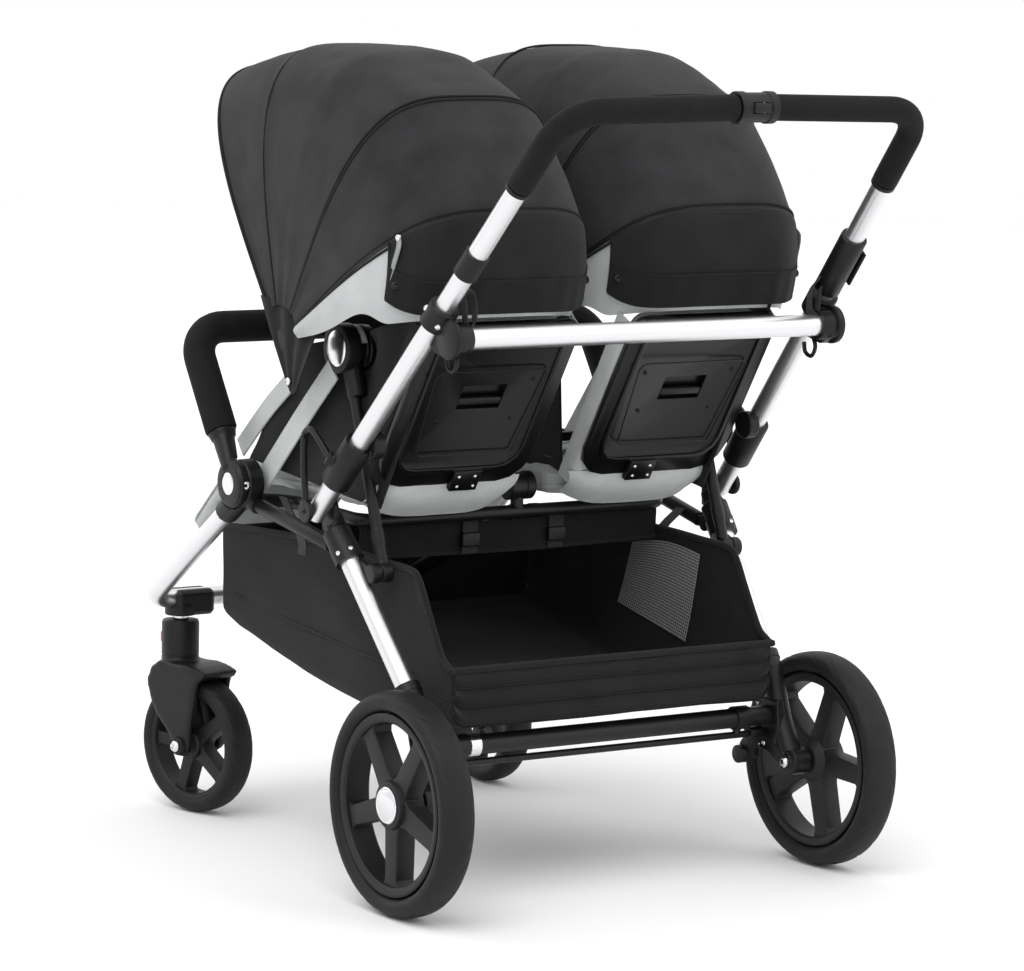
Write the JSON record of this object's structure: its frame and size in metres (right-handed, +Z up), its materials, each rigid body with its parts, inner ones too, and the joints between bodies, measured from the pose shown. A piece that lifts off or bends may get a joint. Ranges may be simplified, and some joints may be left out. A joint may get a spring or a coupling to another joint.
{
  "type": "double stroller",
  "caption": "Side-by-side folding stroller with reclining seats, arched hoods, a bumper bar, a basket and swivelling front wheels.",
  "frame": {"origin": "on the ground under the middle of the stroller's length and width", "axes": "+Z up, -Y towards the front wheels, +X towards the side nearest in the picture"},
  "size_m": [0.752, 1.1217, 1.1489],
  "materials": {
    "satin_aluminium": "satin anodised",
    "black_painted_tube": "satin black",
    "black_plastic": "fine grain",
    "wheel_plastic": "satin moulded",
    "black_tyre": "matt",
    "dark_foam": "foam grip",
    "charcoal_cloth": "close plain weave",
    "black_cloth": "coarse woven polyester",
    "grey_cloth": "light padded cloth",
    "red_plastic": "moulded"
  },
  "bodies": {
    "chassis": {"front_tube": "satin_aluminium", "seat_frame": "black_painted_tube", "basket": "black_cloth", "front_hub_left": "black_plastic", "front_hub_right": "black_plastic", "side_link_left": "black_painted_tube", "side_link_right": "black_painted_tube", "caster_bracket_left": "black_plastic", "caster_bracket_right": "black_plastic", "seat_left": "grey_cloth", "seat_right": "grey_cloth", "hood_rear_left": "charcoal_cloth", "hood_rear_right": "charcoal_cloth"},
    "rear_legs": {"rear_axle": "black_painted_tube", "rear_leg_left": "satin_aluminium", "rear_leg_right": "satin_aluminium", "leg_joint_left": "black_plastic", "leg_joint_right": "black_plastic", "rear_foot_left": "black_plastic", "rear_foot_right": "black_plastic"},
    "handle": {"crossbar": "satin_aluminium", "handle_grip": "dark_foam", "handle_clasp": "black_plastic", "latch_housing": "black_plastic", "handle_tube_left": "satin_aluminium", "handle_tube_right": "satin_aluminium", "fold_joint_left": "black_plastic", "fold_joint_right": "black_plastic", "crossbar_mount_left": "black_plastic", "crossbar_mount_right": "black_plastic"},
    "handle_button": {"handle_button": "wheel_plastic"},
    "latch_lever": {"latch_lever": "black_plastic"},
    "brake_pedal": {"brake_pedal": "black_plastic"},
    "bumper": {"bumper_bar": "dark_foam", "bumper_socket_left": "black_plastic", "bumper_socket_right": "black_plastic"},
    "caster_left": {"fork_left": "black_plastic"},
    "swivel_lock_left": {"swivel_lock_left": "red_plastic"},
    "front_wheel_left": {"front_wheel_left": "wheel_plastic", "front_tyre_left": "black_tyre"},
    "rear_wheel_left": {"rear_wheel_left": "wheel_plastic", "rear_tyre_left": "black_tyre"},
    "seat_post_left": {"seat_post_left": "black_plastic"},
    "back_left": {"back_shell_left": "black_plastic", "back_pad_left": "grey_cloth"},
    "recline_bar_left": {"recline_bar_left": "black_plastic"},
    "hood_left": {"hood_front_left": "charcoal_cloth"},
    "leg_rest_left": {"leg_rest_left": "grey_cloth"},
    "caster_right": {"fork_right": "black_plastic"},
    "swivel_lock_right": {"swivel_lock_right": "red_plastic"},
    "front_wheel_right": {"front_wheel_right": "wheel_plastic", "front_tyre_right": "black_tyre"},
    "rear_wheel_right": {"rear_wheel_right": "wheel_plastic", "rear_tyre_right": "black_tyre"},
    "seat_post_right": {"seat_post_right": "black_plastic"},
    "back_right": {"back_shell_right": "black_plastic", "back_pad_right": "grey_cloth"},
    "recline_bar_right": {"recline_bar_right": "black_plastic"},
    "hood_right": {"hood_front_right": "charcoal_cloth"},
    "leg_rest_right": {"leg_rest_right": "grey_cloth"}
  },
  "joints": [
    {"name": "frame_fold", "type": "hinge", "parent": "chassis", "child": "rear_legs", "pos_m": [0, 0.0362, 0.462], "axis": [-1, 0, 0], "range_deg": [0, 84], "deforming": ["hood_rear_left", "hood_rear_right"]},
    {"name": "handle_fold", "type": "hinge", "parent": "rear_legs", "child": "handle", "pos_m": [0, 0.0282, 0.516], "axis": [1, 0, 0], "range_deg": [0, 189]},
    {"name": "bumper_turn", "type": "hinge", "parent": "chassis", "child": "bumper", "pos_m": [0, -0.1878, 0.528], "axis": [1, 0, 0], "range_deg": [0, 40]},
    {"name": "brake_pedal_turn", "type": "hinge", "parent": "rear_legs", "child": "brake_pedal", "pos_m": [-0.268, 0.2222, 0.1875], "axis": [1, 0, 0], "range_deg": [0, 15]},
    {"name": "handle_button_press", "type": "slide", "parent": "handle", "child": "handle_button", "axis": [0, -1, 0], "range_m": [0, 0.004], "stiffness_N_per_m": 800},
    {"name": "latch_lever_turn", "type": "hinge", "parent": "handle", "child": "latch_lever", "pos_m": [-0.33026, 0.35052, 0.87972], "axis": [0, 0.7484, -0.6632], "range_deg": [0, 15], "stiffness_Nm_per_rad": 0.5},
    {"name": "seat_post_turn_left", "type": "hinge", "parent": "rear_legs", "child": "seat_post_left", "pos_m": [0.2865, 0.1132, 0.438], "axis": [1, 0, 0], "range_deg": [0, 56.1]},
    {"name": "caster_swivel_left", "type": "hinge", "parent": "chassis", "child": "caster_left", "pos_m": [0.2605, -0.4983, 0.24], "axis": [0, 0, 1], "continuous": true},
    {"name": "swivel_lock_slide_left", "type": "slide", "parent": "caster_left", "child": "swivel_lock_left", "axis": [0, 0, 1], "range_m": [0, 0.008]},
    {"name": "front_wheel_spin_left", "type": "hinge", "parent": "caster_left", "child": "front_wheel_left", "pos_m": [0.25082, -0.45949, 0.102], "axis": [0.9703, 0.2419, 0], "continuous": true},
    {"name": "rear_wheel_spin_left", "type": "hinge", "parent": "rear_legs", "child": "rear_wheel_left", "pos_m": [0.3505, 0.2682, 0.152], "axis": [1, 0, 0], "continuous": true},
    {"name": "back_recline_left", "type": "hinge", "parent": "chassis", "child": "back_left", "pos_m": [0.1675, 0.0832, 0.545], "axis": [-1, 0, 0], "range_deg": [0, 35]},
    {"name": "recline_bar_squeeze_left", "type": "slide", "parent": "back_left", "child": "recline_bar_left", "axis": [0, 0.5284, 0.849], "range_m": [0, 0.012], "stiffness_N_per_m": 200},
    {"name": "hood_turn_left", "type": "hinge", "parent": "chassis", "child": "hood_left", "pos_m": [0.1795, -0.0668, 0.74], "axis": [-1, 0, 0], "range_deg": [0, 55], "deforming": ["hood_front_left"]},
    {"name": "leg_rest_turn_left", "type": "hinge", "parent": "chassis", "child": "leg_rest_left", "pos_m": [0.1675, -0.3238, 0.532], "axis": [-1, 0, 0], "range_deg": [-15, 40]},
    {"name": "seat_post_turn_right", "type": "hinge", "parent": "rear_legs", "child": "seat_post_right", "pos_m": [-0.2865, 0.1132, 0.438], "axis": [1, 0, 0], "range_deg": [0, 56.1]},
    {"name": "caster_swivel_right", "type": "hinge", "parent": "chassis", "child": "caster_right", "pos_m": [-0.2605, -0.4983, 0.24], "axis": [0, 0, 1], "continuous": true},
    {"name": "swivel_lock_slide_right", "type": "slide", "parent": "caster_right", "child": "swivel_lock_right", "axis": [0, 0, 1], "range_m": [0, 0.008]},
    {"name": "front_wheel_spin_right", "type": "hinge", "parent": "caster_right", "child": "front_wheel_right", "pos_m": [-0.2605, -0.4583, 0.102], "axis": [1, 0, 0], "continuous": true},
    {"name": "rear_wheel_spin_right", "type": "hinge", "parent": "rear_legs", "child": "rear_wheel_right", "pos_m": [-0.3505, 0.2682, 0.152], "axis": [1, 0, 0], "continuous": true},
    {"name": "back_recline_right", "type": "hinge", "parent": "chassis", "child": "back_right", "pos_m": [-0.1675, 0.0832, 0.545], "axis": [-1, 0, 0], "range_deg": [0, 35]},
    {"name": "recline_bar_squeeze_right", "type": "slide", "parent": "back_right", "child": "recline_bar_right", "axis": [0, 0.5284, 0.849], "range_m": [0, 0.012], "stiffness_N_per_m": 200},
    {"name": "hood_turn_right", "type": "hinge", "parent": "chassis", "child": "hood_right", "pos_m": [-0.1795, -0.0668, 0.74], "axis": [-1, 0, 0], "range_deg": [0, 55], "deforming": ["hood_front_right"]},
    {"name": "leg_rest_turn_right", "type": "hinge", "parent": "chassis", "child": "leg_rest_right", "pos_m": [-0.1675, -0.3238, 0.532], "axis": [-1, 0, 0], "range_deg": [-15, 40]}
  ],
  "couplings": [
    {"joint": "handle_fold", "follows": "frame_fold", "ratio": 2.25},
    {"joint": "bumper_turn", "follows": "frame_fold", "ratio": 0.4761},
    {"joint": "seat_post_turn_left", "follows": "frame_fold", "ratio": 0.6667},
    {"joint": "seat_post_turn_right", "follows": "frame_fold", "ratio": 0.6667}
  ]
}
